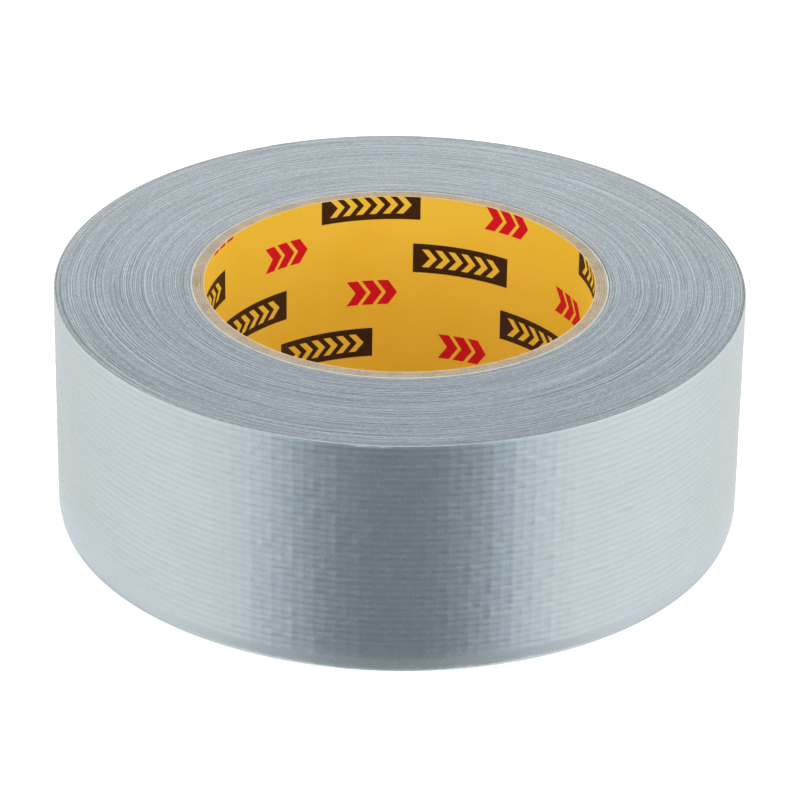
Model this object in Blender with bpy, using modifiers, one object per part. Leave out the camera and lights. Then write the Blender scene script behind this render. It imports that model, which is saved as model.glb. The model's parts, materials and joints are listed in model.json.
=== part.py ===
"""A roll of cloth (duct) tape: about 50 m of 48 mm tape wound on a spirally wound paperboard core.

Frame: metres, +Z up along the core's axis, origin at the centre of the bottom face.  Angles are
counterclockwise from +X, seen from above.  The tape is wound counterclockwise, so its radius grows
with the angle.  Its free end lies at the back (+Y), stuck to the turn below it.  It peels off as a
chain of short segments, each hinged to the one before it at the tape's outer surface.
"""
import math

import bmesh
import bpy
from mathutils import Vector

MM = 0.001

# The tape, a laminate of three layers.
TAPE_WIDTH = 48.0 * MM
FILM = 0.060 * MM
CLOTH = 0.040 * MM
ADHESIVE = 0.050 * MM
LAYER_GAP = 0.015 * MM
TAPE_THICKNESS = FILM + CLOTH + ADHESIVE + 2 * LAYER_GAP

# The roll.  Its radius is taken on the film's outer surface at the tape's free end.
ROLL_RADIUS = 67.4 * MM
BORE_RADIUS = 38.1 * MM
CONTACT_GAP = 0.03 * MM

# The core: a printed liner, paperboard plies and a pale outer paper, from the bore outwards.
GLUE_LINE = 0.06 * MM
LINER = 0.20 * MM
PLY = 0.45 * MM
PLY_COUNT = 4
OUTER_PAPER = 0.35 * MM

# Every strip of the core is wound at one helix angle, and its two edges meet in a butt seam.
STRIP_WIDTH = 127.0 * MM
HELIX_ANGLE = math.asin(STRIP_WIDTH / (2 * math.pi * BORE_RADIUS))
HELIX_RISE = BORE_RADIUS * math.tan(HELIX_ANGLE)
BUTT_SEAM = 0.4 * MM
FIRST_SEAM = math.radians(196)
SEAM_STEP = math.radians(77)

# Round pieces share their facets' angles, so that thin layers lie on each other without crossing.
FACETS = 120
FACET = 2 * math.pi / FACETS

# The free end: its segments, and the angles where it starts to peel and where it is cut.
TAIL_SEGMENTS = 4
SEGMENT_ANGLE = 4 * FACET
PEEL_ANGLE = math.radians(66)
CUT_ANGLE = PEEL_ANGLE + TAIL_SEGMENTS * SEGMENT_ANGLE
SEGMENT_GAP = 0.10 * MM

COLOURS = {
    "printed_liner": ((0.80, 0.49, 0.05, 1.0), 0.55),
    "paperboard": ((0.49, 0.41, 0.31, 1.0), 0.90),
    "pale_paper": ((0.58, 0.57, 0.52, 1.0), 0.85),
    "tape_edges": ((0.42, 0.46, 0.49, 1.0), 0.55),
    "film": ((0.48, 0.54, 0.57, 1.0), 0.35),
    "cloth": ((0.72, 0.72, 0.69, 1.0), 0.90),
    "adhesive": ((0.55, 0.57, 0.57, 1.0), 0.60),
}


def clear_scene():
    for item in list(bpy.data.objects):
        bpy.data.objects.remove(item)


def new_collection(name):
    collection = bpy.data.collections.new(name)
    bpy.context.scene.collection.children.link(collection)
    return collection


def material(name):
    """The material of that name, made the first time it is asked for."""
    found = bpy.data.materials.get(name)
    if found:
        return found
    colour, roughness = COLOURS[name]
    made = bpy.data.materials.new(name)
    made.use_nodes = True
    shader = made.node_tree.nodes["Principled BSDF"]
    shader.inputs["Base Color"].default_value = colour
    shader.inputs["Roughness"].default_value = roughness
    shader.inputs["Metallic"].default_value = 0.0
    return made


def add_object(name, data, collection, finish=None):
    item = bpy.data.objects.new(name, data)
    collection.objects.link(item)
    if finish:
        data.materials.append(material(finish))
    return item


def polyline_mesh(name, points, closed):
    """A mesh of edges only, for a Screw modifier to turn."""
    mesh = bpy.data.meshes.new(name)
    outline = bmesh.new()
    corners = [outline.verts.new(point) for point in points]
    for first, second in zip(corners, corners[1:]):
        outline.edges.new((first, second))
    if closed:
        outline.edges.new((corners[-1], corners[0]))
    outline.to_mesh(mesh)
    outline.free()
    return mesh


# ---------------------------------------------------------------- the core

def turned_tube(name, inner, outer, finish, collection):
    """A tube of the tape's width, turned from its rectangular section."""
    section = [(outer, 0, TAPE_WIDTH), (outer, 0, 0), (inner, 0, 0), (inner, 0, TAPE_WIDTH)]
    tube = add_object(name, polyline_mesh(name, section, closed=True), collection, finish)
    turn = tube.modifiers.new("turn", "SCREW")
    turn.axis = "Z"
    turn.angle = 2 * math.pi
    turn.steps = FACETS
    turn.render_steps = FACETS
    turn.use_merge_vertices = True
    turn.merge_threshold = 0.01 * MM
    turn.use_smooth_shade = False
    return tube


def seam_cutter(name, inner, outer, angle, cutters):
    """A thin helical wall, which parts a tube along a butt seam that climbs with the strips."""
    past = 1.0 * MM
    rise = TAPE_WIDTH + 2 * past
    line = [(inner - past, 0, 0), (outer + past, 0, 0)]
    wall = add_object(name, polyline_mesh(name, line, closed=False), cutters)
    wall.location.z = -past
    wall.rotation_euler.z = angle
    sweep = wall.modifiers.new("sweep", "SCREW")
    sweep.axis = "Z"
    sweep.angle = rise / HELIX_RISE
    sweep.screw_offset = rise
    sweep.steps = round(sweep.angle / FACET)
    sweep.render_steps = sweep.steps
    sweep.use_merge_vertices = False
    thicken = wall.modifiers.new("thicken", "SOLIDIFY")
    thicken.thickness = BUTT_SEAM
    thicken.offset = 0
    wall.hide_render = True
    wall.display_type = "WIRE"
    return wall


def wound_tube(name, inner, thickness, seam_angle, finish, parts, cutters):
    """One strip of the core: a tube that is open along its helical butt seam."""
    outer = inner + thickness
    tube = turned_tube(name, inner, outer, finish, parts)
    cut = tube.modifiers.new("butt_seam", "BOOLEAN")
    cut.operation = "DIFFERENCE"
    cut.object = seam_cutter(name + "_seam", inner, outer, seam_angle, cutters)
    return outer


def build_core(parts, cutters):
    """The core's strips from the bore outwards; returns the radius that they reach."""
    strips = [("core_liner", LINER, "printed_liner")]
    strips += [(f"core_ply_{number + 1}", PLY, "paperboard") for number in range(PLY_COUNT)]
    strips.append(("core_outer_paper", OUTER_PAPER, "pale_paper"))
    radius = BORE_RADIUS
    for number, (name, thickness, finish) in enumerate(strips):
        seam_angle = FIRST_SEAM + number * SEAM_STEP
        radius = wound_tube(name, radius, thickness, seam_angle, finish, parts, cutters) + GLUE_LINE
    return radius


# ---------------------------------------------------------------- the tape

def tape_radius(angle):
    """The film's outer surface on the last turn, which ends at CUT_ANGLE."""
    turns_before_end = (CUT_ANGLE - angle) / (2 * math.pi)
    return ROLL_RADIUS - TAPE_THICKNESS * turns_before_end


def facet_angles(start, end):
    """start and end, and every facet's edge between them."""
    first = math.floor(start / FACET + 1e-6) + 1
    last = math.ceil(end / FACET - 1e-6)
    return [start] + [number * FACET for number in range(first, last)] + [end]


def on_roll(radius, angle, height=0.0):
    return Vector((radius * math.cos(angle), radius * math.sin(angle), height))


def build_winding(inner, parts):
    """All the turns under the last one, bonded into one mass, as an extruded outline.

    The outline is a spiral with one step of the tape's thickness, under the tape's free end.
    """
    curve = bpy.data.curves.new("tape_winding", "CURVE")
    curve.dimensions = "2D"
    curve.fill_mode = "BOTH"
    curve.extrude = TAPE_WIDTH / 2
    depth = TAPE_THICKNESS + CONTACT_GAP
    outside = [on_roll(tape_radius(angle) - depth, angle)
               for angle in facet_angles(CUT_ANGLE - 2 * math.pi, CUT_ANGLE)]
    inside = [on_roll(inner, number * FACET) for number in range(FACETS)]
    for loop in (outside, inside):
        spline = curve.splines.new("POLY")
        spline.points.add(len(loop) - 1)
        for point, place in zip(spline.points, loop):
            point.co = (place.x, place.y, 0, 1)
        spline.use_cyclic_u = True
    winding = add_object("tape_winding", curve, parts, "tape_edges")
    winding.location.z = TAPE_WIDTH / 2


def tape_layer(name, start, end, depth, thickness, finish, parts, hinge=None):
    """One layer of a stretch of the last turn: a flat sheet bent round the roll, then thickened.

    depth is how far the layer's outer face lies under the film's outer surface.
    """
    angles = facet_angles(start, end)
    sheet = bmesh.new()
    bmesh.ops.create_grid(sheet, x_segments=len(angles) - 1, y_segments=1, size=0.5)
    origin = hinge.matrix_world.translation if hinge else Vector()
    for vert in sheet.verts:
        angle = angles[round((vert.co.x + 0.5) * (len(angles) - 1))]
        height = (vert.co.y + 0.5) * TAPE_WIDTH
        vert.co = on_roll(tape_radius(angle) - depth, angle, height) - origin
    bmesh.ops.reverse_faces(sheet, faces=[face for face in sheet.faces if faces_inwards(face, origin)])
    mesh = bpy.data.meshes.new(name)
    sheet.to_mesh(mesh)
    sheet.free()
    layer = add_object(name, mesh, parts, finish)
    layer.parent = hinge
    thicken = layer.modifiers.new("thickness", "SOLIDIFY")
    thicken.thickness = thickness
    thicken.offset = -1


def faces_inwards(face, origin):
    face.normal_update()
    middle = face.calc_center_median() + origin
    return face.normal.x * middle.x + face.normal.y * middle.y < 0


def tape_layers(prefix, start, end, parts, hinge=None):
    """The three layers of one stretch of tape, from the outside in."""
    depth = 0.0
    for layer, thickness in (("film", FILM), ("cloth", CLOTH), ("adhesive", ADHESIVE)):
        tape_layer(f"{prefix}_{layer}", start, end, depth, thickness, layer, parts, hinge)
        depth += thickness + LAYER_GAP


def hinge_at(name, angle, parent, parts):
    """An empty on a peel line: the axis is vertical, on the film's outer surface."""
    hinge = bpy.data.objects.new(name, None)
    hinge.empty_display_size = 5 * MM
    parts.objects.link(hinge)
    place = on_roll(tape_radius(angle), angle, TAPE_WIDTH / 2)
    if parent:
        hinge.parent = parent
        place = place - parent.matrix_world.translation
    hinge.location = place
    bpy.context.view_layer.update()
    return hinge


def build_last_turn(parts):
    """The stuck part of the last turn, then the free end's segments, each on its own hinge."""
    clearance = SEGMENT_GAP / 2 / ROLL_RADIUS
    tape_layers("last_turn", CUT_ANGLE - 2 * math.pi + clearance, PEEL_ANGLE - clearance, parts)
    hinge = None
    for number in range(TAIL_SEGMENTS):
        start = PEEL_ANGLE + number * SEGMENT_ANGLE
        hinge = hinge_at(f"tail_{number + 1}_hinge", start, hinge, parts)
        end = start + SEGMENT_ANGLE
        tape_layers(f"tail_{number + 1}", start + clearance, end - clearance, parts, hinge)


def main():
    clear_scene()
    parts = new_collection("tape_roll")
    cutters = new_collection("cutters")
    core_outside = build_core(parts, cutters)
    build_winding(core_outside, parts)
    build_last_turn(parts)


main()
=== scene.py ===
"""The looks of a cloth tape roll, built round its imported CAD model.

Metres, +Z up, the core's axis on Z.  Angles are counterclockwise from +X, seen from above.  The tape is
one spiral, wound counterclockwise: its edges make the roll's two end faces, its last turn the outside,
and its free end peels off at the back.  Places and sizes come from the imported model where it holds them.
"""
import json
import math

import bmesh
import bpy
import numpy as np
from mathutils import Matrix, Vector


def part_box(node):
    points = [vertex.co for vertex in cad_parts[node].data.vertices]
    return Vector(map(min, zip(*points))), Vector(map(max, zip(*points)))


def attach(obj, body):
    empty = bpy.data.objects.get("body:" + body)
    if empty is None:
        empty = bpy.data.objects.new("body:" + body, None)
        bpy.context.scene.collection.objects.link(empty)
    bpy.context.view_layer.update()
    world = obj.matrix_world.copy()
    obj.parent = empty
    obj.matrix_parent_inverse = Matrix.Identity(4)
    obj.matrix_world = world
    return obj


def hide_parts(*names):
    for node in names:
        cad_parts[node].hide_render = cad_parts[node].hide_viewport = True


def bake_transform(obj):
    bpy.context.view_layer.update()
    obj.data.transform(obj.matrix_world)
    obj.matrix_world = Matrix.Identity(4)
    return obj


MM = 0.001
TURN = 2 * math.pi

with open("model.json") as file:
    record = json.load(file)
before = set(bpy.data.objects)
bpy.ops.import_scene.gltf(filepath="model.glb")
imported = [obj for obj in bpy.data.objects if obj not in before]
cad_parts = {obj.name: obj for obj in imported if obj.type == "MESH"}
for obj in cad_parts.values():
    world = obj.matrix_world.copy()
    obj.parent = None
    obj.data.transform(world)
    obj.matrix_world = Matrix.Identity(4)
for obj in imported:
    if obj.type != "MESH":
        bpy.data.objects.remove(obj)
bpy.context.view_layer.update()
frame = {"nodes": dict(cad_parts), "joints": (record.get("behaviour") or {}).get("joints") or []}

# ---------------------------------------------------------------- sizes


def radii(node):
    """The smallest and largest distance of a CAD node's corners from the roll's axis."""
    corners = np.array([vert.co[:2] for vert in frame["nodes"][node].data.vertices])
    distance = np.hypot(corners[:, 0], corners[:, 1])
    return float(distance.min()), float(distance.max())


def angle_of(point):
    return math.atan2(point.y, point.x) % TURN


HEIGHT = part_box("tape_winding")[1].z
BORE_RADIUS = radii("core_liner")[0]
CORE_RADIUS = radii("core_outer_paper")[1]
WINDING_RADIUS = radii("tape_winding")[1]
ROLL_RADIUS = radii("tail_4_film")[1]

HINGES = [Vector(joint["pos_m"]) for joint in frame["joints"]]
PEEL_ANGLE = angle_of(HINGES[0])
SEGMENT_ANGLE = angle_of(HINGES[1]) - PEEL_ANGLE
CUT_ANGLE = PEEL_ANGLE + SEGMENT_ANGLE * len(HINGES)

# The tape's layers from the outside in: how deep each one's outer face lies, and its thickness.
FILM = 0.060 * MM
CLOTH = 0.040 * MM
ADHESIVE = 0.050 * MM
LAYER_GAP = 0.015 * MM
LAYERS = {
    "film": (0.0, FILM),
    "cloth": (FILM + LAYER_GAP, CLOTH),
    "adhesive": (FILM + CLOTH + 2 * LAYER_GAP, ADHESIVE),
}
TAPE_THICKNESS = FILM + CLOTH + ADHESIVE + 2 * LAYER_GAP

# The scrim: warp threads run along the tape, weft threads across it, and every second one stands out more.
WARP_PITCH = 1.345 * MM
WARP_START = 0.3 * MM
WEFT_PITCH = 2.07 * MM
SCRIM_RELIEF = 0.086 * MM
SWELL = 0.030 * MM

# The outer turns' edges are pressed in at both ends of the roll: how tall and how deep the shoulders are,
# and how far in from the outside the turns give way.
TOP_SHOULDER = (0.6 * MM, 0.05 * MM)
BOTTOM_SHOULDER = (3.0 * MM, 0.55 * MM)
GIVE = 2.5 * MM

# The core's strips climb at one helix angle, and each meets itself in a butt seam, SEAM_STEP on from the
# strip inside it.  The liner's seam is at FIRST_SEAM at the height SEAM_START.  BUTT_SEAM is the gap that
# shows, narrower than the one between the CAD's faces.
STRIP_WIDTH = 127.0 * MM
HELIX_RISE = BORE_RADIUS * math.tan(math.asin(STRIP_WIDTH / (TURN * BORE_RADIUS)))
BUTT_SEAM = 0.14 * MM
FIRST_SEAM = math.radians(196)
SEAM_STEP = math.radians(77)
SEAM_START = -1.0 * MM

# How deep the core's cut edges are worn away, and how much they are chamfered at most.
WORN_EDGE = 0.05 * MM
CHAMFER = 0.06 * MM

# ---------------------------------------------------------------- noise and meshes

# Edges that turn by more than this are shaded as sharp.
SHARP_ANGLE = math.radians(50)

# The noise tables repeat after this many knots.
LINE_KNOTS = 4096
SHEET_KNOTS = 512


def smooth(t):
    return t * t * (3 - 2 * t)


def noise_line(x, seed):
    """Smooth random values from -1 to 1 along a line, with one knot a unit."""
    knots = np.random.default_rng(seed).uniform(-1, 1, LINE_KNOTS)
    low = np.floor(x).astype(int)
    share = smooth(x - low)
    return knots[low % LINE_KNOTS] * (1 - share) + knots[(low + 1) % LINE_KNOTS] * share


def noise_sheet(x, y, seed):
    """Smooth random values from -1 to 1 over a plane, with one knot at each whole x and y."""
    knots = np.random.default_rng(seed).uniform(-1, 1, (SHEET_KNOTS, SHEET_KNOTS))
    low_x, low_y = np.floor(x).astype(int), np.floor(y).astype(int)
    share_x, share_y = smooth(x - low_x), smooth(y - low_y)
    total = 0.0
    for step_x in (0, 1):
        for step_y in (0, 1):
            weight = (share_x if step_x else 1 - share_x) * (share_y if step_y else 1 - share_y)
            total = total + weight * knots[(low_x + step_x) % SHEET_KNOTS, (low_y + step_y) % SHEET_KNOTS]
    return total


def pressed_in(height):
    """How far the outside of the roll lies inwards at a height."""
    total = 0.0
    for (tall, deep), from_end in ((TOP_SHOULDER, HEIGHT - height), (BOTTOM_SHOULDER, height)):
        share = np.clip(1 - from_end / tall, 0, 1)
        total = total + deep * share ** 2
    return total


def squeezed(radius, height):
    """The radius at which a turn's edge lies once the shoulders are pressed in."""
    return radius - pressed_in(height) * smooth(np.clip((radius - ROLL_RADIUS + GIVE) / GIVE, 0, 1))


def polar(radius, angle, height):
    radius, angle, height = np.broadcast_arrays(radius, angle, height)
    return np.stack([radius * np.cos(angle), radius * np.sin(angle), height], -1)


def build_mesh(name, corners, faces, uv, body):
    """An object from corners, faces and a texture place for each face's corners.

    It is smooth but for its sharp edges.  If body is None, the piece is left unattached.
    """
    mesh = bpy.data.meshes.new(name)
    mesh.from_pydata(corners.tolist(), [], faces)
    layer = mesh.uv_layers.new(name="along_and_up")
    layer.data.foreach_set("uv", np.asarray(uv, np.float32).ravel())
    mesh.validate()
    mesh.set_sharp_from_angle(angle=SHARP_ANGLE)
    piece = bpy.data.objects.new(name, mesh)
    bpy.context.scene.collection.objects.link(piece)
    if body:
        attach(piece, body)
    return piece


def sweep(name, places, uv, body):
    """A closed solid: a loop of points carried through stations, with a cap at each end.

    places[station, point] and uv[station, point] are in metres.  The loop runs so that its left side,
    looking along the stations, is inside.
    """
    stations, points = places.shape[:2]
    corner = np.arange(stations * points).reshape(stations, points)
    near, far = corner[:-1], corner[1:]
    quads = np.stack([near, np.roll(near, -1, 1), np.roll(far, -1, 1), far], -1).reshape(-1, 4)
    caps = [corner[0][::-1].tolist(), corner[-1].tolist()]
    faces = quads.tolist() + caps
    flat_uv = uv.reshape(-1, 2)
    corner_uv = np.concatenate([flat_uv[quads.ravel()]] + [flat_uv[cap] for cap in caps])
    return build_mesh(name, places.reshape(-1, 3), faces, corner_uv, body)


# ---------------------------------------------------------------- materials


def srgb(red, green, blue):
    """A colour given as it looks on a screen, 0 to 255, as the linear values that shaders take."""
    return tuple(((c / 255 + 0.055) / 1.055) ** 2.4 if c > 10 else c / 255 / 12.92
                 for c in (red, green, blue)) + (1.0,)


class Nodes:
    """A material's nodes, added and joined in one call each."""

    def __init__(self, name, roughness, metallic=0.0, **inputs):
        self.material = bpy.data.materials.new(name)
        self.material.use_nodes = True
        self.tree = self.material.node_tree
        self.shader = self.tree.nodes["Principled BSDF"]
        self.shader.inputs["Roughness"].default_value = roughness
        self.shader.inputs["Metallic"].default_value = metallic
        for socket, value in inputs.items():
            self.shader.inputs[socket.replace("_", " ")].default_value = value

    def add(self, kind, settings=None, **inputs):
        """A node; an input is a value, or another node's output to link."""
        node = self.tree.nodes.new("ShaderNode" + kind)
        for key, value in (settings or {}).items():
            setattr(node, key, value)
        for key, value in inputs.items():
            socket = node.inputs[int(key[1:])] if key[0] == "i" and key[1:].isdigit() else node.inputs[key]
            self.put(socket, value)
        return node

    def put(self, socket, value):
        if isinstance(value, bpy.types.NodeSocket):
            self.tree.links.new(value, socket)
        elif isinstance(value, bpy.types.Node):
            self.tree.links.new(value.outputs[0], socket)
        else:
            socket.default_value = value

    def math(self, operation, first, second=0.0):
        return self.add("Math", {"operation": operation}, i0=first, i1=second)

    def noise(self, vector, scale, detail=2.0, roughness=0.5):
        node = self.add("TexNoise", Vector=vector, Scale=scale, Detail=detail, Roughness=roughness)
        return node.outputs["Fac"]

    def stretched(self, vector, x, y, z=1.0):
        return self.add("Mapping", Vector=vector, Scale=(x, y, z))

    def ramp(self, value, *stops):
        node = self.add("ValToRGB", Fac=value)
        points = node.color_ramp.elements
        while len(points) < len(stops):
            points.new(0.5)
        for point, (place, colour) in zip(points, stops):
            point.position = place
            point.color = colour
        return node

    def ease(self, value, start, end, at_start=0.0, at_end=1.0):
        """A value that goes smoothly from at_start to at_end as another goes from start to end."""
        return self.add("MapRange", {"interpolation_type": "SMOOTHSTEP"}, Value=value, i1=start, i2=end,
                        i3=at_start, i4=at_end)

    def bump(self, height, strength, depth):
        return self.add("Bump", Height=height, Strength=strength, Distance=depth).outputs["Normal"]

    def finish(self, colour=None, roughness=None, normal=None):
        for socket, value in (("Base Color", colour), ("Roughness", roughness), ("Normal", normal)):
            if value is not None:
                self.put(self.shader.inputs[socket], value)
        return self.material


def tape_uv(nodes):
    """The place on the tape in millimetres: x along its length, y up its width."""
    uv = nodes.add("UVMap", {"uv_map": "along_and_up"})
    return nodes.stretched(uv, 1000, 1000)


def thread_ridge(nodes, place, rise, fall):
    """Threads as heights from 0 to 1, and their numbers: place is across them, in pitches."""
    number = nodes.math("ROUND", place)
    offset = nodes.math("SUBTRACT", place, number)
    up = nodes.ease(offset, *rise)
    down = nodes.ease(offset, *fall, 1.0, 0.0)
    return nodes.math("MULTIPLY", up, down), number


# Random amounts from 0 to 1 are raised to this power, so that low ones come more often.
LOW_BIAS = 1.6


def chance(nodes, x, y, seed, low, high):
    """A random value for each whole x and y, more often low than high."""
    spot = nodes.add("CombineXYZ", X=x, Y=y, Z=seed)
    value = nodes.add("TexWhiteNoise", {"noise_dimensions": "3D"}, Vector=spot).outputs["Value"]
    value = nodes.math("POWER", value, LOW_BIAS)
    return nodes.add("MapRange", Value=value, i3=low, i4=high)


def film_material(name, depth):
    """Silver polyethylene film over the scrim: its threads show through, with fine creases between."""
    nodes = Nodes(name, 0.27, 0.85)
    place = tape_uv(nodes)
    clouds = nodes.noise(place, 0.08, 3)
    streaks = nodes.noise(nodes.stretched(place, 0.12, 1.4), 1.0, 3)
    tone = nodes.math("ADD", nodes.math("MULTIPLY", clouds, 0.6), nodes.math("MULTIPLY", streaks, 0.4))
    colour = nodes.ramp(tone, (0.3, (0.555, 0.63, 0.65, 1)), (0.7, (0.60, 0.66, 0.675, 1)))
    gloss = nodes.noise(place, 0.5, 4)
    roughness = nodes.add("MapRange", Value=gloss, i3=0.21, i4=0.32)
    split = nodes.add("SeparateXYZ", Vector=place)
    along, up = split.outputs["X"], split.outputs["Y"]
    warp_place = nodes.math("MULTIPLY_ADD", up, MM / WARP_PITCH)
    warp_place.inputs[2].default_value = -WARP_START / WARP_PITCH
    weft_place = nodes.math("MULTIPLY", along, MM / WEFT_PITCH)
    warp, warp_number = thread_ridge(nodes, warp_place, (-0.32, -0.14), (0.08, 0.5))
    weft, weft_number = thread_ridge(nodes, weft_place, (-0.3, -0.05), (0.05, 0.3))
    stretch = nodes.math("MULTIPLY", warp, 0.5)
    rib = nodes.math("MULTIPLY", weft, 0.25)
    knot = nodes.math("MULTIPLY", nodes.math("MULTIPLY", warp, weft),
                      chance(nodes, warp_number, weft_number, 7.0, 0.0, 0.9))
    weave = nodes.math("ADD", nodes.math("MAXIMUM", stretch, rib), knot)
    creases = nodes.noise(nodes.stretched(place, 0.7, 2.6), 1.0, 3, 0.55)
    height = nodes.math("ADD", weave, nodes.math("MULTIPLY", creases, 0.3))
    return nodes.finish(colour, roughness, nodes.bump(height, 1.0, depth))


# The period of a wave texture whose scale is 1.
WAVE_PERIOD = 0.314


def cloth_material():
    """Warp and weft threads of the scrim, as two crossing waves."""
    nodes = Nodes("scrim_cloth", 0.85, 0.0)
    place = tape_uv(nodes)
    warp, weft = [nodes.add("TexWave", {"wave_type": "BANDS", "bands_direction": direction}, Vector=place,
                            Scale=WAVE_PERIOD / (pitch / MM), Distortion=0.4).outputs["Fac"]
                  for direction, pitch in (("Y", WARP_PITCH), ("X", WEFT_PITCH))]
    threads = nodes.math("MAXIMUM", warp, weft)
    colour = nodes.ramp(threads, (0.35, srgb(150, 154, 152)), (0.9, srgb(226, 226, 218)))
    return nodes.finish(colour, None, nodes.bump(threads, 0.8, 0.06 * MM))


def adhesive_material():
    """Rubber adhesive, a little lumpy."""
    nodes = Nodes("tape_adhesive", 0.45, 0.0)
    place = tape_uv(nodes)
    lumps = nodes.noise(place, 1.6, 3)
    colour = nodes.ramp(lumps, (0.35, srgb(168, 172, 170)), (0.7, srgb(196, 199, 194)))
    return nodes.finish(colour, None, nodes.bump(lumps, 0.6, 0.05 * MM))


# How far the tape's edge varies in tone over short and long stretches, in specks, from turn to turn and at
# its cut weft threads, and the length of those stretches in millimetres.
EDGE_SHORT, EDGE_LASTING, EDGE_SPECKS, EDGE_BAND, EDGE_DOTS = 0.24, 0.31, 0.12, 0.08, 0.5
SHORT_STRETCH, LASTING_STRETCH = 5.0, 45.0


def edge_material():
    """The tape's slit edges: each turn has its own tone, and cut weft threads show as small pale dots."""
    nodes = Nodes("tape_edges", 0.38, 0.15)
    place = nodes.add("UVMap", {"uv_map": "along_and_up"})
    split = nodes.add("SeparateXYZ", Vector=place)
    along = nodes.math("MULTIPLY", split.outputs["X"], 1 / MM)
    across = split.outputs["Y"]
    stretches = nodes.add("CombineXYZ", X=nodes.math("MULTIPLY", along, 1 / SHORT_STRETCH))
    short = nodes.noise(stretches, 1.0, 4, 0.65)
    stretches = nodes.add("CombineXYZ", X=nodes.math("MULTIPLY", along, 1 / LASTING_STRETCH), Y=7.0)
    lasting = nodes.noise(stretches, 1.0, 1)
    weft = nodes.math("MULTIPLY", along, MM / WEFT_PITCH)
    thread = nodes.add("TexWhiteNoise", {"noise_dimensions": "1D"}, W=nodes.math("FLOOR", weft))
    paleness = nodes.math("POWER", thread.outputs["Value"], 3.0)
    in_thread = nodes.math("LESS_THAN", nodes.math("FRACT", weft), 0.22)
    in_cloth = nodes.math("COMPARE", across, 0.45)
    in_cloth.inputs[2].default_value = 0.16
    dots = nodes.math("MULTIPLY", nodes.math("MULTIPLY", in_thread, in_cloth), paleness)
    solid = nodes.add("TexCoord").outputs["Object"]
    specks = nodes.noise(nodes.stretched(solid, 3500, 3500, 3500), 1.0, 3, 0.7)
    band = nodes.add("Attribute", {"attribute_name": "band"}).outputs["Fac"]
    tone = 0.0
    for part, weight in ((short, EDGE_SHORT), (lasting, EDGE_LASTING), (specks, EDGE_SPECKS),
                         (band, EDGE_BAND), (dots, EDGE_DOTS)):
        tone = nodes.math("ADD", nodes.math("MULTIPLY", part, weight), tone)
    colour = nodes.ramp(tone, (0.205, srgb(72, 82, 89)), (0.335, srgb(128, 139, 146)),
                        (0.465, srgb(180, 192, 199)))
    return nodes.finish(colour, None, nodes.bump(specks, 0.5, 0.04 * MM))


def board_material(name, light, dark):
    """Raw board or paper: fibres and soft blotches."""
    nodes = Nodes(name, 0.9, 0.0)
    solid = nodes.add("TexCoord").outputs["Object"]
    fibres = nodes.noise(nodes.stretched(solid, 1400, 1400, 1400), 1.0, 4, 0.7)
    blotches = nodes.noise(nodes.stretched(solid, 260, 260, 260), 1.0, 3)
    tone = nodes.math("ADD", nodes.math("MULTIPLY", fibres, 0.6), nodes.math("MULTIPLY", blotches, 0.4))
    colour = nodes.ramp(tone, (0.36, dark), (0.62, light))
    return nodes.finish(colour, None, nodes.bump(fibres, 0.6, 0.05 * MM))


def printed_paper_material():
    """The liner's yellow printed face."""
    nodes = Nodes("printed_yellow_paper", 0.55, 0.0, Specular_IOR_Level=0.25)
    place = tape_uv(nodes)
    clouds = nodes.noise(place, 0.06, 3)
    fibres = nodes.noise(nodes.stretched(place, 1.0, 3.0), 1.0, 4, 0.6)
    tone = nodes.math("ADD", nodes.math("MULTIPLY", clouds, 0.6), nodes.math("MULTIPLY", fibres, 0.4))
    colour = nodes.ramp(tone, (0.35, srgb(252, 206, 58)), (0.65, srgb(255, 215, 76)))
    return nodes.finish(colour, None, nodes.bump(fibres, 0.25, 0.03 * MM))


def ink_material(name, light, dark):
    """Printing ink, slightly uneven."""
    nodes = Nodes(name, 0.55, 0.0, Specular_IOR_Level=0.2)
    place = tape_uv(nodes)
    wear = nodes.noise(place, 1.2, 4, 0.6)
    colour = nodes.ramp(wear, (0.3, dark), (0.7, light))
    return nodes.finish(colour, None, nodes.bump(wear, 0.2, 0.02 * MM))


# ---------------------------------------------------------------- the core


def seam_angle(number, height):
    """The angle of a strip's butt seam at a height above the roll's base."""
    return FIRST_SEAM + number * SEAM_STEP + (height - SEAM_START) / HELIX_RISE


def core_strip(node, number, material, rows, columns, rim_points):
    """One strip of the core: a tube that is open along its seam, with slightly worn cut edges."""
    inner, outer = radii(node)
    thickness = outer - inner
    chamfer = min(CHAMFER, thickness / 4)
    up = np.linspace(HEIGHT - chamfer, chamfer, rows)
    across = np.linspace(inner + chamfer, outer - chamfer, rim_points)
    radius = np.concatenate([np.full(rows, outer), across[::-1], np.full(rows, inner), across])
    height = np.concatenate([up, np.zeros(rim_points), up[::-1], np.full(rim_points, HEIGHT)])
    share = np.linspace(0, 1, columns)[:, None]
    gap = BUTT_SEAM / 2 / inner
    angle = seam_angle(number, height) + gap + share * (TURN - 2 * gap)
    rough = noise_sheet(angle * inner / (0.5 * MM), radius[None] / (0.25 * MM), 20 + number)
    at_edge = np.concatenate([np.zeros(rows), -np.ones(rim_points), np.zeros(rows), np.ones(rim_points)])
    cut = height - at_edge * (0.5 + 0.5 * rough) * WORN_EDGE
    uv = np.stack(np.broadcast_arrays(angle * inner, height[None]), -1)
    piece = sweep(node + "_strip", polar(radius, angle, cut), uv, "roll")
    piece.data.materials.append(material)
    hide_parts(node)
    return piece


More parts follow.
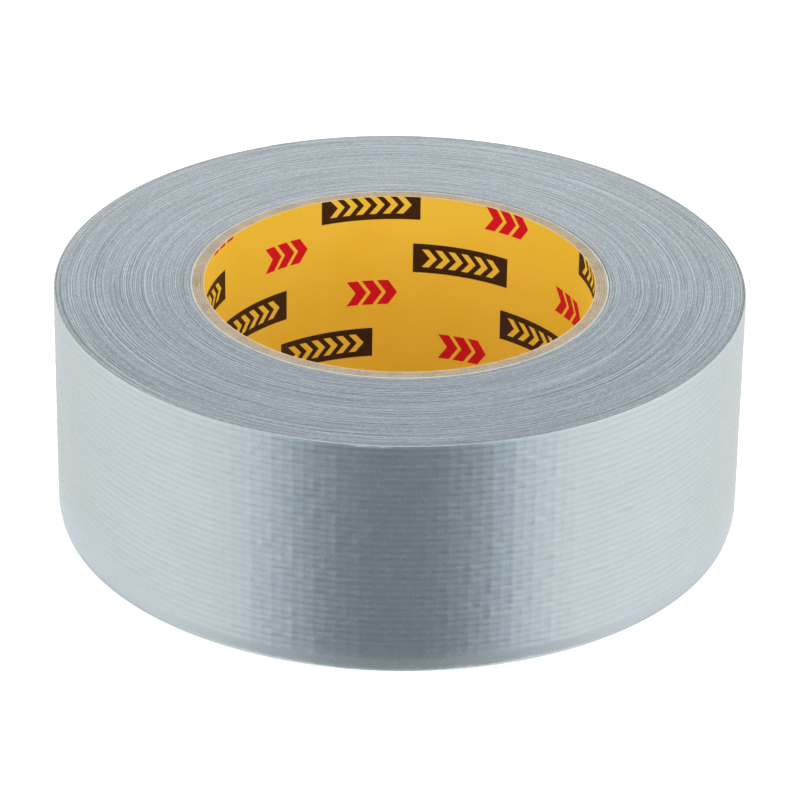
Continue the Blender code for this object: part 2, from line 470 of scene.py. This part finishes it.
def bare_paper(liner, rows, rim_points):
    """The liner is printed on its bore side only; its cut rims and its back are bare paper."""
    paper = board_material("bare_liner_paper", srgb(232, 206, 168), srgb(212, 184, 144))
    liner.data.materials.append(paper)
    points = 2 * (rows + rim_points)
    strip = np.arange(len(liner.data.polygons)) % points
    bare = (strip < rows + rim_points) | (strip >= points - rim_points - 1)
    liner.data.polygons.foreach_set("material_index", bare.astype(np.int32))


def build_core():
    paper = printed_paper_material()
    board = board_material("paperboard", srgb(195, 179, 156), srgb(162, 146, 122))
    pale = board_material("pale_core_paper", srgb(216, 214, 206), srgb(192, 189, 179))
    rows, rim_points = 40, 3
    liner = core_strip("core_liner", 0, paper, rows, 361, rim_points)
    bare_paper(liner, rows, rim_points)
    for number in range(1, 5):
        core_strip(f"core_ply_{number}", number, board, 30, 241, 5)
    core_strip("core_outer_paper", 5, pale, 30, 361, 3)


# ---------------------------------------------------------------- the print on the liner

# The marks' widths and heights; the steps from each mark to the next two ways, round the bore to the right
# and up; and where the red marks and the first bar lie.  Places round the bore are measured from the back.
BAR = (20.5 * MM, 6.5 * MM)
ARROWS = (10.5 * MM, 5.5 * MM)
STEP_ALONG = (19.1 * MM, -11.9 * MM)
STEP_ACROSS = (-28.6 * MM, -19.3 * MM)
RED_OFFSET = (0.5 * MM, -19.8 * MM)
FIRST_BAR = (-6.25 * MM, -1.9 * MM)

# Past its join, to the right of the back, the print is out of step with itself.
PRINT_JOIN = 48.0 * MM
JOIN_SLIP = (-4.85 * MM, 4.6 * MM)
BACK = math.radians(90)

# The ink's place and thickness; how near it comes to the rims and to the seam; the smallest stretches kept,
# and the largest before they are split to follow the bore.
INK_LIFT = 0.010 * MM
INK_THICKNESS = 0.015 * MM
RIM_MARGIN = 0.1 * MM
SEAM_MARGIN = 0.3 * MM
LEAST_HEIGHT, MOST_HEIGHT = 0.01 * MM, 0.6 * MM
LEAST_WIDTH, MOST_WIDTH = 0.02 * MM, 0.8 * MM
WELD_DISTANCE = 0.004 * MM


def bar_rows():
    """A bar with chevrons left bare: its rows of inked stretches, as (height, [(left, right), ...])."""
    width, height = BAR
    reach, stroke, lean, pitch, chevrons = 2.0 * MM, 1.45 * MM, 1.7 * MM, 2.75 * MM, 6
    start = -((chevrons - 1) * pitch + lean + stroke) / 2
    rows = [(-height / 2, [(-width / 2, width / 2)]), (-reach, [(-width / 2, width / 2)])]
    for up in (-reach, 0.0, reach):
        tip = lean * (1 - abs(up) / reach)
        lefts = [start + number * pitch + tip for number in range(chevrons)]
        ends = [-width / 2] + [left + stroke for left in lefts]
        rows.append((up, list(zip(ends, lefts + [width / 2]))))
    return rows + [(reach, [(-width / 2, width / 2)]), (height / 2, [(-width / 2, width / 2)])]


def arrow_rows():
    """Three chevrons, as rows of inked stretches."""
    width, height = ARROWS
    stroke, lean, chevrons = 2.3 * MM, 1.9 * MM, 3
    pitch = (width - stroke - lean) / (chevrons - 1)
    rows = []
    for share in (-1.0, 0.0, 1.0):
        tip = lean * (1 - abs(share)) - width / 2
        lefts = [number * pitch + tip for number in range(chevrons)]
        rows.append((share * height / 2, [(left, left + stroke) for left in lefts]))
    return rows


def split_row(low, high, most):
    """The stretches of ink between two rows, cut into lower pieces: pairs of (height, stretches)."""
    (z0, first), (z1, second) = low, high
    if len(first) != len(second) or z1 - z0 < 1e-9:
        return
    count = max(1, math.ceil((z1 - z0) / most))
    cuts = []
    for number in range(count + 1):
        share = number / count
        stretches = [(a * (1 - share) + c * share, b * (1 - share) + d * share)
                     for (a, b), (c, d) in zip(first, second)]
        cuts.append((z0 + share * (z1 - z0), stretches))
    yield from zip(cuts, cuts[1:])


def centres(offset):
    """The centre of every copy of a mark, round the bore and up."""
    for along in range(-12, 13):
        for across in range(-6, 7):
            right = FIRST_BAR[0] + offset[0] + along * STEP_ALONG[0] + across * STEP_ACROSS[0]
            up = HEIGHT + FIRST_BAR[1] + offset[1] + along * STEP_ALONG[1] + across * STEP_ACROSS[1]
            if right > PRINT_JOIN:
                right, up = right + JOIN_SLIP[0], up + JOIN_SLIP[1]
            yield right, up


def clipped(rows, offset):
    """The stretches of every copy of a mark, clipped at the liner's rims and its seam.

    Each is (bottom, top, [left and right at the bottom, left and right at the top]).
    """
    for centre, centre_up in centres(offset):
        for low, high in zip(rows, rows[1:]):
            for (z0, first), (z1, second) in split_row(low, high, MOST_HEIGHT):
                bottom = max(centre_up + z0, RIM_MARGIN)
                top = min(centre_up + z1, HEIGHT - RIM_MARGIN)
                if top - bottom < LEAST_HEIGHT:
                    continue
                leftmost = (BACK - seam_angle(0, (bottom + top) / 2)) * BORE_RADIUS + SEAM_MARGIN
                rightmost = leftmost - 2 * SEAM_MARGIN + TURN * BORE_RADIUS
                for (a, b), (c, d) in zip(first, second):
                    ends = [min(max(centre + value, leftmost), rightmost) for value in (a, b, c, d)]
                    if ends[1] - ends[0] >= LEAST_WIDTH or ends[3] - ends[2] >= LEAST_WIDTH:
                        yield bottom, top, ends


def ink(name, rows, offset, material):
    """Every copy of a mark that falls on the liner, as thin ink."""
    corners, faces = [], []
    for bottom, top, ends in clipped(rows, offset):
        count = max(1, math.ceil(max(ends[1] - ends[0], ends[3] - ends[2]) / MOST_WIDTH))
        base = len(corners)
        for number in range(count + 1):
            share = number / count
            for height, (left, right) in ((bottom, ends[:2]), (top, ends[2:])):
                corners.append((left + share * (right - left), height))
        for number in range(count):
            corner = base + 2 * number
            faces.append((corner, corner + 2, corner + 3, corner + 1))
    flat = np.array(corners)
    places = polar(BORE_RADIUS - INK_LIFT, BACK - flat[:, 0] / BORE_RADIUS, flat[:, 1])
    piece = build_mesh(name, places, faces, flat[np.array(faces).ravel()], "roll")
    piece.data.shade_flat()
    weld(piece, WELD_DISTANCE)
    thicken = piece.modifiers.new("thickness", "SOLIDIFY")
    thicken.thickness = INK_THICKNESS
    thicken.offset = 1
    piece.data.materials.append(material)


def weld(piece, distance):
    """Joins corners that lie in the same place."""
    mesh = bmesh.new()
    mesh.from_mesh(piece.data)
    bmesh.ops.remove_doubles(mesh, verts=mesh.verts, dist=distance)
    mesh.to_mesh(piece.data)
    mesh.free()


def build_print():
    dark = ink_material("dark_ink", srgb(70, 38, 5), srgb(52, 27, 3))
    ink("liner_bars", bar_rows(), (0, 0), dark)
    red = ink_material("red_ink", srgb(230, 8, 42), srgb(214, 4, 34))
    ink("liner_arrows", arrow_rows(), RED_OFFSET, red)


# ---------------------------------------------------------------- the wound tape

# The points along one turn; how deep a groove lies between two turns, and where the crest lies between two
# grooves; how far the turns' edges stand out of line; how many points apart the tone's knots are.
TURN_STATIONS = 160
GROOVE_DEPTH = 0.012 * MM
CREST_SHARE = 0.68
TELESCOPE = 0.03 * MM
TONE_STATIONS = 12.0
TONE_STEP = 0.7

# The winding stops this far short of the core, and leaves out a first turn thinner than this share.
CORE_GAP = 0.03 * MM
THIN_TURN = 0.4

# The film's bump: fine detail over the last turn's modelled relief, and all the relief on the turn under it.
FILM_BUMP = 0.011 * MM
INNER_TURN_BUMP = 0.045 * MM


def end_face(grooves_at, crests_at, length, flip):
    """The faces and texture places of one end of the winding: groove to crest to groove at each station.

    A texture place is the distance along the tape, and 0 to 1 across its edge.
    """
    station = np.arange(len(length) - 1)
    groove, crest = grooves_at + station, crests_at + station
    inner = np.stack([groove, crest, crest + 1, groove + 1], -1)
    outer = np.stack([crest, groove + TURN_STATIONS, groove + TURN_STATIONS + 1, crest + 1], -1)
    faces, uvs = [], []
    for quads, low, high in ((inner, 0.0, 0.5), (outer, 0.5, 1.0)):
        places = [(length[:-1], low), (length[:-1], high), (length[1:], high), (length[1:], low)]
        uv = np.stack([np.stack([along, np.full(len(station), across)], -1) for along, across in places], 1)
        if flip:
            quads, uv = quads[:, ::-1], uv[:, ::-1]
        faces += quads.tolist()
        uvs.append(uv.reshape(-1, 2))
    return faces, uvs


def build_winding():
    """Every turn under the last one, as one closed solid whose end faces are the tape's slit edges.

    Each turn has a groove line where it meets the turn inside it, and a crest line on its own edge, nearer
    its outer side, where the film is.  The outermost turn's outside is film, which shows when the free end
    is lifted.
    """
    turns = math.floor((WINDING_RADIUS - CORE_RADIUS) / TAPE_THICKNESS - THIN_TURN)
    count = turns * TURN_STATIONS
    along = np.arange(count + TURN_STATIONS + 1)
    angle = CUT_ANGLE + along * TURN / TURN_STATIONS
    groove = WINDING_RADIUS - TAPE_THICKNESS * (count + TURN_STATIONS - along) / TURN_STATIONS
    groove = np.maximum(groove, CORE_RADIUS + CORE_GAP)
    crest = groove[:count + 1] * (1 - CREST_SHARE) + groove[TURN_STATIONS:] * CREST_SHARE
    band = noise_line(along / TONE_STATIONS, 3)
    band[TURN_STATIONS:] = (band[TURN_STATIONS:] - band[:-TURN_STATIONS]) * TONE_STEP
    slip = noise_line(along / TURN_STATIONS * 1.7, 5) * 0.5 + noise_line(along / 11.0, 6) * 0.3
    slip = (0.5 + 0.5 * slip) * TELESCOPE

    # The corners: grooves and crests on top, the same below, and two rings round the outermost turn.
    sides = []
    for face_height, outward in ((HEIGHT, 1), (0.0, -1)):
        groove_z = face_height - outward * (slip + GROOVE_DEPTH)
        crest_z = face_height - outward * slip[:count + 1]
        sides.append(polar(squeezed(groove, face_height), angle, groove_z))
        sides.append(polar(squeezed(crest, face_height), angle[:count + 1], crest_z))
    rings = (HEIGHT - TOP_SHOULDER[0], BOTTOM_SHOULDER[0])
    last_turn = np.arange(count, count + TURN_STATIONS + 1)
    sides += [polar(groove[last_turn], angle[last_turn], height) for height in rings]
    firsts = np.cumsum([0] + [len(side) for side in sides[:-1]])
    top, top_crest, bottom, bottom_crest, upper, lower = firsts.tolist()
    corners = np.concatenate(sides)

    length = np.cumsum(np.concatenate([[0], groove[:count] * TURN / TURN_STATIONS]))
    faces, uvs = end_face(top, top_crest, length, False)
    more_faces, more_uvs = end_face(bottom, bottom_crest, length, True)
    faces, uvs = faces + more_faces, uvs + more_uvs

    film_faces = len(faces) + np.arange(3 * TURN_STATIONS)
    station = TURN / TURN_STATIONS * WINDING_RADIUS
    for number in range(TURN_STATIONS):
        levels = ((top + count + number, HEIGHT), (upper + number, rings[0]),
                  (lower + number, rings[1]), (bottom + count + number, 0.0))
        here, after = number * station, (number + 1) * station
        for (over, over_z), (under, under_z) in zip(levels, levels[1:]):
            faces.append((over + 1, over, under, under + 1))
            uvs.append(np.array([(after, over_z), (here, over_z), (here, under_z), (after, under_z)]))
    hidden = [(top + number, top + number + 1, bottom + number + 1, bottom + number)
              for number in range(TURN_STATIONS)]
    hidden.append((top, bottom, bottom_crest, bottom + TURN_STATIONS, top + TURN_STATIONS, top_crest))
    hidden.append((top + count, upper, lower, bottom + count, bottom_crest + count,
                   bottom + count + TURN_STATIONS, lower + TURN_STATIONS, upper + TURN_STATIONS,
                   top + count + TURN_STATIONS, top_crest + count)[::-1])
    faces += hidden
    uvs.append(np.zeros((sum(len(face) for face in hidden), 2)))

    piece = build_mesh("wound_turns", corners, faces, np.concatenate(uvs), "roll")
    values = np.concatenate([band, band[:count + 1]] * 2 + [band[last_turn]] * 2).astype(np.float32)
    piece.data.attributes.new("band", "FLOAT", "POINT").data.foreach_set("value", values)
    piece.data.materials.append(edge_material())
    piece.data.materials.append(film_material("silver_film_of_inner_turn", INNER_TURN_BUMP))
    index = np.zeros(len(piece.data.polygons), np.int32)
    index[film_faces] = 1
    piece.data.polygons.foreach_set("material_index", index)
    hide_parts("tape_winding")


# ---------------------------------------------------------------- the last turn and the free end

# Where the film's mesh lines lie about each weft thread and about each warp thread, how far those wander, and
# how near they come to a strip's ends.
WEFT_LINES = (-0.45 * MM, 0.0, 0.45 * MM)
WARP_LINES = (-0.42 * MM, -0.20 * MM, 0.05 * MM, 0.60 * MM)
WANDER = 0.12 * MM
WANDER_PERIOD = 4.5 * MM
LINE_MARGIN = 0.12 * MM

# A layer's mesh lines near its lower and upper edges, from each edge, and the spacing along an inner layer.
LOW_LINES = (3.0 * MM, 2.4 * MM, 1.9 * MM, 1.4 * MM, 1.0 * MM, 0.65 * MM, 0.35 * MM, 0.12 * MM, 0.0)
HIGH_LINES = (0.0, 0.05 * MM, 0.15 * MM, 0.3 * MM, 0.6 * MM)
INNER_SPACING = 1.2 * MM

# How wide a ridge is over a warp thread, below and above it, and over a weft thread; how far every second
# thread stands out; the least that a warp thread does; and how far a weft thread and a crossing stand out, as
# shares of the relief.
WARP_RIDGE = (0.24 * MM, 0.58 * MM)
WEFT_RIDGE = 0.45 * MM
SECOND_WARP, SECOND_WEFT = 0.75, 0.55
LEAST_STRETCH = 0.3
RIB, KNOT = 0.45, 0.9


# The gap between the free end's cut and the start of the last turn, and the shares of a segment before and
# after a hinge that are set for the first bend and for the others.
STEP_GAP = 0.05 * MM
FIRST_BEND, BEND = (0.0, 0.55), (0.45, 0.45)


def film_radius(angle):
    """The film's outer surface on the last turn, which ends at CUT_ANGLE."""
    return ROLL_RADIUS - TAPE_THICKNESS * (CUT_ANGLE - angle) / TURN


def numbered(place, pitch):
    """The number of the thread nearest to a place, and how far the place lies past it."""
    number = np.round(place / pitch).astype(int)
    return number, place - number * pitch


def ridge(offset, below, above):
    """A ridge's height from 0 to 1, at a place past its crest."""
    return np.exp(-(offset / np.where(offset < 0, below, above)) ** 2)


def cell(x, y, seed):
    """A random value from 0 to 1 for each whole x and y, more often low than high."""
    values = np.random.default_rng(seed).uniform(0, 1, (SHEET_KNOTS, SHEET_KNOTS))
    return values[x % SHEET_KNOTS, y % SHEET_KNOTS] ** LOW_BIAS


def relief(along, up):
    """How far the film stands out over the scrim and over the turns below it, in metres.

    A warp thread stands out by a different amount between each two weft threads, and most of all where it
    crosses one.
    """
    warp, past_warp = numbered(up - WARP_START, WARP_PITCH)
    weft, past_weft = numbered(along, WEFT_PITCH)
    after_warp = np.floor((up - WARP_START) / WARP_PITCH).astype(int)
    after_weft = np.floor(along / WEFT_PITCH).astype(int)
    over_warp = ridge(past_warp, *WARP_RIDGE) * np.where(warp % 2, SECOND_WARP, 1.0)
    over_weft = ridge(past_weft, WEFT_RIDGE, WEFT_RIDGE) * np.where(weft % 2, SECOND_WEFT, 1.0)
    stretch = over_warp * (LEAST_STRETCH + (1 - LEAST_STRETCH) * cell(warp, after_weft, 31))
    rib = over_weft * RIB * cell(after_warp, weft, 33)
    knot = over_warp * over_weft * cell(warp, weft, 34)
    swell = 0.6 * noise_sheet(along / (15 * MM), up / (9 * MM), 35)
    swell = swell + 0.9 * noise_sheet(along / (4.5 * MM), up / (40 * MM), 36)
    return SCRIM_RELIEF * (np.maximum(stretch, rib) + KNOT * knot) + SWELL * swell


def mesh_lines(start, end, pitch, first, offsets):
    """Places between start and end that lie at the same offsets from each thread."""
    numbers = np.arange(math.floor((start - first) / pitch) - 1, math.ceil((end - first) / pitch) + 2)
    lines = (numbers[:, None] * pitch + first + np.array(offsets)[None]).ravel()
    return lines[(lines > start + LINE_MARGIN) & (lines < end - LINE_MARGIN)]


def layer_strip(name, layer, start, end, body, material):
    """One layer of a stretch of tape, from the angle start to the angle end, as a closed solid.

    The film's mesh lines follow the threads beneath it, which wander a little.
    """
    depth, thickness = LAYERS[layer]
    low, high = np.array(LOW_LINES), HEIGHT - np.array(HIGH_LINES)
    first, last = (start - PEEL_ANGLE) * ROLL_RADIUS, (end - PEEL_ANGLE) * ROLL_RADIUS
    if layer == "film":
        along = mesh_lines(first, last, WEFT_PITCH, 0.0, WEFT_LINES)
        between = mesh_lines(low[0], high[-1], WARP_PITCH, WARP_START, WARP_LINES)
    else:
        along = np.linspace(first, last, round((last - first) / INNER_SPACING) + 2)[1:-1]
        between = np.linspace(low[0], high[-1], 5)[1:-1]
    along = np.concatenate([[first], along, [last]])
    up = np.concatenate([high, between[::-1], low])
    inner_up = np.concatenate([low[::-1], high[::-1]])
    height = np.concatenate([up, inner_up])
    outside = np.arange(len(height)) < len(up)
    uv = np.stack(np.broadcast_arrays(along[:, None], height[None]), -1)
    if layer == "film":
        from_ends = np.minimum(along - first, last - along)[:, None]
        from_edges = np.minimum(height, HEIGHT - height)[None]
        free = np.clip(np.minimum(from_ends, from_edges) / (2 * MM), 0, 1) * outside
        stand = relief(uv[..., 0], uv[..., 1]) * np.clip(from_edges / (0.5 * MM), 0, 1) * outside
        warp_number = numbered(uv[..., 1] - WARP_START, WARP_PITCH)[0]
        weft_number = numbered(uv[..., 0], WEFT_PITCH)[0]
        climb = WANDER * free * noise_sheet(uv[..., 0] / WANDER_PERIOD, warp_number, 37)
        drift = WANDER * free * noise_sheet(uv[..., 1] / WANDER_PERIOD, weft_number, 38)
    else:
        stand = climb = drift = np.zeros(uv.shape[:2])
    angle = PEEL_ANGLE + (uv[..., 0] + drift) / ROLL_RADIUS
    radius = film_radius(angle) - depth - np.where(outside, 0, thickness) - pressed_in(height)[None] + stand
    piece = sweep(name, polar(radius, angle, uv[..., 1] + climb), uv, body)
    piece.data.materials.append(material)
    return piece


def build_tape():
    """The stuck part of the last turn, and the free end cut into a piece about each hinge, and its tip."""
    step_gap = STEP_GAP / ROLL_RADIUS
    bodies = ["roll"] + [joint["child"] for joint in frame["joints"]]
    materials = (film_material("silver_film", FILM_BUMP), cloth_material(), adhesive_material())
    for layer, material in zip(LAYERS, materials):
        stuck = layer_strip(f"last_turn_{layer}_strip", layer, CUT_ANGLE - TURN + step_gap, PEEL_ANGLE,
                            "roll", material)
        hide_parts(f"last_turn_{layer}")
        for number, hinge in enumerate(HINGES):
            start = PEEL_ANGLE + (number - 0.5) * SEGMENT_ANGLE if number else PEEL_ANGLE
            end = PEEL_ANGLE + (number + 0.5) * SEGMENT_ANGLE
            bend = layer_strip(f"tail_{layer}_bend_{number + 1}", layer, start, end, None, material)
            before, after = FIRST_BEND if number == 0 else BEND
            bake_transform(bend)
            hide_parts(f"tail_{number + 1}_{layer}")
        layer_strip(f"tail_{layer}_tip", layer, CUT_ANGLE - SEGMENT_ANGLE / 2, CUT_ANGLE, bodies[-1],
                    material)


# ---------------------------------------------------------------- camera, floor and light

LENS = 195.8
SENSOR = 36.0
ELEVATION = math.radians(28.03)
DISTANCE = 12.741
ROLL_OF_VIEW = math.radians(0.88)
SHIFT = (0.0023, -0.0136)
CLIP = (0.05, 10.0)


def add_camera():
    """A long lens in front of the roll, looking down at its middle; DISTANCE is in roll radii."""
    camera = bpy.data.cameras.new("camera")
    camera.lens = LENS
    camera.sensor_width = SENSOR
    camera.shift_x, camera.shift_y = SHIFT
    camera.clip_start, camera.clip_end = CLIP
    item = bpy.data.objects.new("camera", camera)
    bpy.context.scene.collection.objects.link(item)
    away = Vector((0, -math.cos(ELEVATION), math.sin(ELEVATION)))
    place = Vector((0, 0, HEIGHT / 2)) + away * DISTANCE * ROLL_RADIUS
    turn = (-away).to_track_quat("-Z", "Y").to_matrix().to_4x4()
    item.matrix_world = Matrix.Translation(place) @ turn @ Matrix.Rotation(ROLL_OF_VIEW, 4, "Z")
    bpy.context.scene.camera = item


# The floor's half-width and height; its own light, which keeps it white, and none of which is inside the
# bore, as painted shade; and its colour inside the bore, darker as painted shade, and outside the roll.
FLOOR_REACH = 6.0
FLOOR_HEIGHT = -0.05 * MM
FLOOR_GLOW = 0.45
FLOOR_IN_BORE_PAINTED_SHADE = 0.8
FLOOR_OUTSIDE = 0.9

# The card's height, width and number of sides, its brightness at the front and at the sides, and the angle
# from the front at which it is fully bright.
CARD_HEIGHT = -0.03 * MM
CARD_WIDTH = 4.5 * MM
CARD_SIDES = 96
CARD_COLOUR = (0.93, 0.96, 1.0, 1)
CARD_GLOW = (0.20, 0.90)
CARD_FADE = 0.8


def stage_piece(name, corners, faces, material):
    """A flat mesh that belongs to the studio, not to the roll."""
    mesh = bpy.data.meshes.new(name)
    mesh.from_pydata(corners, [], faces)
    mesh.materials.append(material)
    piece = bpy.data.objects.new(name, mesh)
    bpy.context.scene.collection.objects.link(piece)
    return piece


def add_floor():
    """A white floor that glows to stay white, with painted shade inside the bore: no glow and a darker
    colour.
    """
    nodes = Nodes("white_floor", 0.9, 0.0)
    nodes.shader.inputs["Emission Color"].default_value = (1, 1, 1, 1)
    place = nodes.add("TexCoord").outputs["Object"]
    from_axis = nodes.add("VectorMath", {"operation": "LENGTH"}, i0=place).outputs["Value"]
    # Painted shade: inside the bore the floor loses its glow and turns darker than outside the roll.
    glow = nodes.ease(from_axis, BORE_RADIUS, ROLL_RADIUS, 0.0, FLOOR_GLOW)
    nodes.put(nodes.shader.inputs["Emission Strength"], glow)
    shade = nodes.ease(from_axis, BORE_RADIUS, ROLL_RADIUS, FLOOR_IN_BORE_PAINTED_SHADE, FLOOR_OUTSIDE)
    nodes.put(nodes.shader.inputs["Base Color"], shade)
    corners = [(x * FLOOR_REACH, y * FLOOR_REACH, FLOOR_HEIGHT)
               for x, y in ((-1, -1), (1, -1), (1, 1), (-1, 1))]
    floor = stage_piece("floor", corners, [(0, 1, 2, 3)], nodes.material)
    floor.visible_glossy = False


def add_card():
    """A ring of card on the floor round the roll, dimmer in front, which only the film's gloss shows."""
    nodes = Nodes("card", 1.0, 0.0, Specular_IOR_Level=0.0)
    nodes.shader.inputs["Base Color"].default_value = (0, 0, 0, 1)
    nodes.shader.inputs["Emission Color"].default_value = CARD_COLOUR
    place = nodes.add("SeparateXYZ", Vector=nodes.add("TexCoord").outputs["Object"])
    from_front = nodes.math("ARCTAN2", place.outputs["X"], nodes.math("MULTIPLY", place.outputs["Y"], -1.0))
    glow = nodes.ease(nodes.math("ABSOLUTE", from_front), 0.0, CARD_FADE, *CARD_GLOW)
    nodes.put(nodes.shader.inputs["Emission Strength"], glow)
    angle = np.arange(CARD_SIDES) * TURN / CARD_SIDES
    inside, outside = ROLL_RADIUS + 0.1 * MM, ROLL_RADIUS + CARD_WIDTH
    corners = np.concatenate([polar(radius, angle, CARD_HEIGHT) for radius in (inside, outside)])
    faces = []
    for number in range(CARD_SIDES):
        following = (number + 1) % CARD_SIDES
        faces.append((number, number + CARD_SIDES, following + CARD_SIDES, following))
    card = stage_piece("card", corners.tolist(), faces, nodes.material)
    card.visible_camera = card.visible_diffuse = card.visible_shadow = False


# The light is a white tent.  z is the sine of the elevation; forward is -1 towards the front and 1 towards
# the back; sideways is -1 to the left and 1 to the right.  A pair in brackets is where a change starts and
# ends.  The tent's brightness low down and from the horizon up, straight below, overhead, behind and below,
# and at the sides:
TENT_LOW, TENT_LOW_Z = (0.77, 1.01), (-0.74, -0.30)
TENT_FLOOR, TENT_FLOOR_Z = 0.30, (-0.95, -0.72)
TENT_TOP, TENT_TOP_Z = 0.97, (0.25, 0.72)
TENT_BEHIND, TENT_BEHIND_FORWARD = (1.0, 0.86), (0.2, 0.9)
TENT_SIDES, TENT_SIDEWAYS = (0.98, 1.04), (-0.8, 0.8)
HORIZON_Z = (0.0, 0.1)

# Two bright bands above the horizon, one behind the roll and one in front of it.
GLOW, GLOW_Z_UP, GLOW_Z_DOWN, GLOW_FORWARD = 1.9, (-0.02, 0.12), (0.22, 0.42), (0.3, 0.85)
FRONT, FRONT_Z_UP, FRONT_Z_DOWN, FRONT_FORWARD = 0.45, (0.05, 0.2), (0.35, 0.65), (-0.9, -0.2)

# The tent's dark gap, in front and below the horizon: the angles from the front where it begins to open and
# is fully open, how its edge falls off, how much it darkens lower down, and its colours from dark to none.
GAP_WIDE = math.radians(64)
GAP_NARROW = math.radians(8)
GAP_EDGE = 0.7
GAP_LOW, GAP_LOW_Z = 0.95, (-0.78, -0.42)
GAP_FLOOR, GAP_FLOOR_Z = 0.25, (-0.92, -0.76)
GAP_COLOURS = ((0.060, 0.112, 0.140, 1), (0.63, 0.70, 0.78, 1), (1, 1, 1, 1))


def add_world():
    """The white tent, darker low down and overhead, open towards the front, brightest low behind.

    The camera sees plain white in its place.
    """
    world = bpy.data.worlds.new("studio")
    bpy.context.scene.world = world
    world.use_nodes = True
    tree = world.node_tree

    def node(kind, *inputs, **settings):
        made = tree.nodes.new("ShaderNode" + kind)
        for key, value in settings.items():
            setattr(made, key, value)
        for socket, value in zip(made.inputs, inputs):
            if isinstance(value, bpy.types.NodeSocket):
                tree.links.new(value, socket)
            else:
                socket.default_value = value
        return made.outputs[0]

    def calc(operation, *inputs):
        return node("Math", *inputs, operation=operation)

    def fade(value, between, at_start, at_end):
        return node("MapRange", value, *between, at_start, at_end, interpolation_type="SMOOTHSTEP")

    split = tree.nodes.new("ShaderNodeSeparateXYZ")
    tree.links.new(tree.nodes.new("ShaderNodeTexCoord").outputs["Generated"], split.inputs[0])
    x, y, z = split.outputs
    flat = calc("POWER", calc("ADD", calc("MULTIPLY", x, x), calc("MULTIPLY", y, y)), 0.5)
    forward = calc("DIVIDE", y, flat)
    sideways = calc("DIVIDE", x, flat)

    level = calc("ADD", fade(z, TENT_LOW_Z, *TENT_LOW), fade(z, TENT_FLOOR_Z, TENT_FLOOR, 0.0))
    overhead = fade(z, TENT_TOP_Z, 0.0, 1.0)
    level = calc("MULTIPLY", level, fade(overhead, (0.0, 1.0), 1.0, TENT_TOP))
    behind = fade(forward, TENT_BEHIND_FORWARD, *TENT_BEHIND)
    behind = calc("ADD", calc("MULTIPLY", fade(z, HORIZON_Z, 1.0, 0.0), behind), fade(z, HORIZON_Z, 0.0, 1.0))
    glow = calc("MULTIPLY", fade(z, GLOW_Z_UP, 0.0, 1.0), fade(z, GLOW_Z_DOWN, 1.0, 0.0))
    glow = calc("MULTIPLY", glow, fade(forward, GLOW_FORWARD, 0.0, GLOW))
    front = calc("MULTIPLY", fade(z, FRONT_Z_UP, 0.0, 1.0), fade(z, FRONT_Z_DOWN, 1.0, 0.0))
    front = calc("MULTIPLY", front, fade(forward, FRONT_FORWARD, FRONT, 0.0))
    level = calc("ADD", calc("MULTIPLY", level, behind), calc("ADD", glow, front))
    level = calc("MULTIPLY", level, fade(sideways, TENT_SIDEWAYS, *TENT_SIDES))

    closed = fade(forward, (-math.cos(GAP_WIDE), -math.cos(GAP_NARROW)), 1.0, 0.0)
    closed = calc("POWER", closed, GAP_EDGE)
    closed = calc("MAXIMUM", closed, fade(z, HORIZON_Z, 0.0, 1.0))
    closed = calc("MAXIMUM", closed, fade(z, GAP_FLOOR_Z, GAP_FLOOR, 0.0))
    darker = calc("MULTIPLY", calc("SUBTRACT", 1.0, closed), fade(z, GAP_LOW_Z, GAP_LOW, 0.0))
    darker = calc("MULTIPLY", darker, fade(z, GAP_FLOOR_Z, 0.0, 1.0))
    level = calc("MULTIPLY", level, calc("SUBTRACT", 1.0, darker))

    ramp = tree.nodes.new("ShaderNodeValToRGB")
    tree.links.new(closed, ramp.inputs[0])
    stops = ramp.color_ramp.elements
    stops.new(0.5)
    for stop, place, colour in zip(stops, (0.0, 0.5, 1.0), GAP_COLOURS):
        stop.position = place
        stop.color = colour
    tent = tree.nodes["Background"]
    tree.links.new(ramp.outputs[0], tent.inputs["Color"])
    tree.links.new(level, tent.inputs["Strength"])
    seen = tree.nodes.new("ShaderNodeBackground")
    seen.inputs["Color"].default_value = (1, 1, 1, 1)
    either = tree.nodes.new("ShaderNodeMixShader")
    tree.links.new(tree.nodes.new("ShaderNodeLightPath").outputs["Is Camera Ray"], either.inputs[0])
    tree.links.new(tent.outputs[0], either.inputs[1])
    tree.links.new(seen.outputs[0], either.inputs[2])
    tree.links.new(either.outputs[0], tree.nodes["World Output"].inputs["Surface"])


def main():
    add_camera()
    build_core()
    build_print()
    build_winding()
    build_tape()
    add_floor()
    add_card()
    add_world()
    bpy.context.scene.view_settings.view_transform = "Standard"


main()
